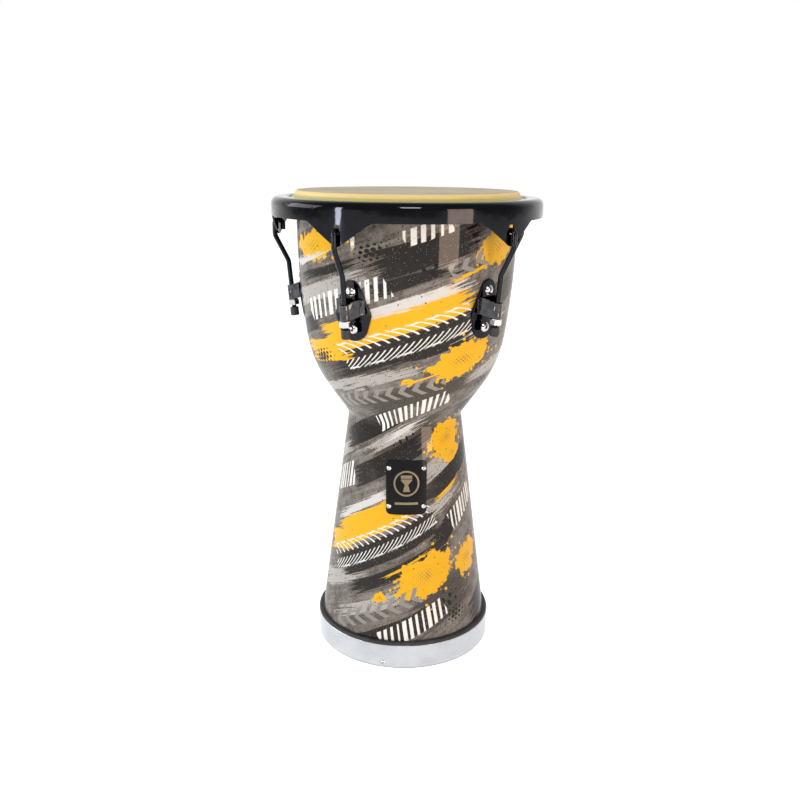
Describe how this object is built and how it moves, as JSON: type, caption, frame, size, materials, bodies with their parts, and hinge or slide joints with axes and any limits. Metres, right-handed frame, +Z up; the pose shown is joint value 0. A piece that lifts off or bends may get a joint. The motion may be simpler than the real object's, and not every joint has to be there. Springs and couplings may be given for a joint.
{
  "type": "djembe",
  "caption": "Goblet hand drum with a printed two-piece shell, a natural skin head, a comfort rim pulled down by hooked tuning rods, a rubber foot and an aluminium foot band.",
  "frame": {"origin": "centre of the drum's base on the floor, on the drum's axis", "axes": "+Z up the drum's axis to the head, -Y towards the front with the name plate, +X to the right when seen from the front"},
  "size_m": [0.3472, 0.3477, 0.6087],
  "materials": {
    "printed_shell": "clear-coated graphic print over a fibre-reinforced shell",
    "foot_rubber": "moulded, matte",
    "foot_aluminium": "satin",
    "bright_chrome": "polished plating",
    "name_plate": "gloss black with gold emblem",
    "zinc_steel": "zinc plated",
    "goat_skin": "natural shaved skin",
    "black_nickel": "polished black nickel",
    "cap_rubber": "moulded, ribbed"
  },
  "bodies": {
    "shell": {"shell_bowl": "printed_shell", "shell_stem": "printed_shell", "foot_rubber": "foot_rubber", "foot_band": "foot_aluminium", "foot_band_screws": "bright_chrome", "name_plate": "name_plate", "name_plate_screws": "bright_chrome", "lug_bolts": "bright_chrome", "lug_bolt_washers": "zinc_steel", "lug_bolt_nuts": "zinc_steel", "tuning_washers": "bright_chrome", "drum_head": "goat_skin", "lug_gasket_1": "foot_rubber", "lug_gasket_2": "foot_rubber", "lug_gasket_3": "foot_rubber", "lug_gasket_4": "foot_rubber", "lug_gasket_5": "foot_rubber", "lug_plate_1": "black_nickel", "lug_plate_2": "black_nickel", "lug_plate_3": "black_nickel", "lug_plate_4": "black_nickel", "lug_plate_5": "black_nickel", "lug_bracket_1": "black_nickel", "lug_bracket_2": "black_nickel", "lug_bracket_3": "black_nickel", "lug_bracket_4": "black_nickel", "lug_bracket_5": "black_nickel"},
    "rim": {"rim": "black_nickel", "head_tuck": "goat_skin", "flesh_hoop": "zinc_steel"},
    "rod_1": {"tuning_rod_1": "black_nickel", "rod_cap_1": "cap_rubber"},
    "nut_1": {"tuning_nut_1": "bright_chrome"},
    "rod_2": {"tuning_rod_2": "black_nickel", "rod_cap_2": "cap_rubber"},
    "nut_2": {"tuning_nut_2": "bright_chrome"},
    "rod_3": {"tuning_rod_3": "black_nickel", "rod_cap_3": "cap_rubber"},
    "nut_3": {"tuning_nut_3": "bright_chrome"},
    "rod_4": {"tuning_rod_4": "black_nickel", "rod_cap_4": "cap_rubber"},
    "nut_4": {"tuning_nut_4": "bright_chrome"},
    "rod_5": {"tuning_rod_5": "black_nickel", "rod_cap_5": "cap_rubber"},
    "nut_5": {"tuning_nut_5": "bright_chrome"}
  },
  "joints": [
    {"name": "rim_slide", "type": "slide", "parent": "shell", "child": "rim", "axis": [0, 0, -1], "range_m": [-0.0025, 0.006]},
    {"name": "rod_1_slide", "type": "slide", "parent": "shell", "child": "rod_1", "axis": [0.0459, 0.0882, -0.995], "range_m": [-0.00252, 0.00604]},
    {"name": "nut_1_spin", "type": "hinge", "parent": "shell", "child": "nut_1", "pos_m": [-0.0708, -0.136, 0.47265], "axis": [-0.0459, -0.0882, 0.995], "range_deg": [-714, 1711]},
    {"name": "rod_2_slide", "type": "slide", "parent": "shell", "child": "rod_2", "axis": [-0.0697, 0.0709, -0.995], "range_m": [-0.00252, 0.00604]},
    {"name": "nut_2_spin", "type": "hinge", "parent": "shell", "child": "nut_2", "pos_m": [0.10747, -0.10936, 0.47265], "axis": [0.0697, -0.0709, 0.995], "range_deg": [-714, 1711]},
    {"name": "rod_3_slide", "type": "slide", "parent": "shell", "child": "rod_3", "axis": [-0.089, -0.0444, -0.995], "range_m": [-0.00252, 0.00604]},
    {"name": "nut_3_spin", "type": "hinge", "parent": "shell", "child": "nut_3", "pos_m": [0.13722, 0.06842, 0.47265], "axis": [0.089, 0.0444, 0.995], "range_deg": [-714, 1711]},
    {"name": "rod_4_slide", "type": "slide", "parent": "shell", "child": "rod_4", "axis": [0.0147, -0.0984, -0.995], "range_m": [-0.00252, 0.00604]},
    {"name": "nut_4_spin", "type": "hinge", "parent": "shell", "child": "nut_4", "pos_m": [-0.02266, 0.15164, 0.47265], "axis": [-0.0147, 0.0984, 0.995], "range_deg": [-714, 1711]},
    {"name": "rod_5_slide", "type": "slide", "parent": "shell", "child": "rod_5", "axis": [0.0981, -0.0164, -0.995], "range_m": [-0.00252, 0.00604]},
    {"name": "nut_5_spin", "type": "hinge", "parent": "shell", "child": "nut_5", "pos_m": [-0.15122, 0.02531, 0.47265], "axis": [-0.0981, 0.0164, 0.995], "range_deg": [-714, 1711]}
  ],
  "couplings": [
    {"joint": "rod_1_slide", "follows": "rim_slide", "ratio": 1.005},
    {"joint": "nut_1_spin", "follows": "rim_slide", "rad_per_m": 4972},
    {"joint": "rod_2_slide", "follows": "rim_slide", "ratio": 1.005},
    {"joint": "nut_2_spin", "follows": "rim_slide", "rad_per_m": 4972},
    {"joint": "rod_3_slide", "follows": "rim_slide", "ratio": 1.005},
    {"joint": "nut_3_spin", "follows": "rim_slide", "rad_per_m": 4972},
    {"joint": "rod_4_slide", "follows": "rim_slide", "ratio": 1.005},
    {"joint": "nut_4_spin", "follows": "rim_slide", "rad_per_m": 4972},
    {"joint": "rod_5_slide", "follows": "rim_slide", "ratio": 1.005},
    {"joint": "nut_5_spin", "follows": "rim_slide", "rad_per_m": 4972}
  ]
}
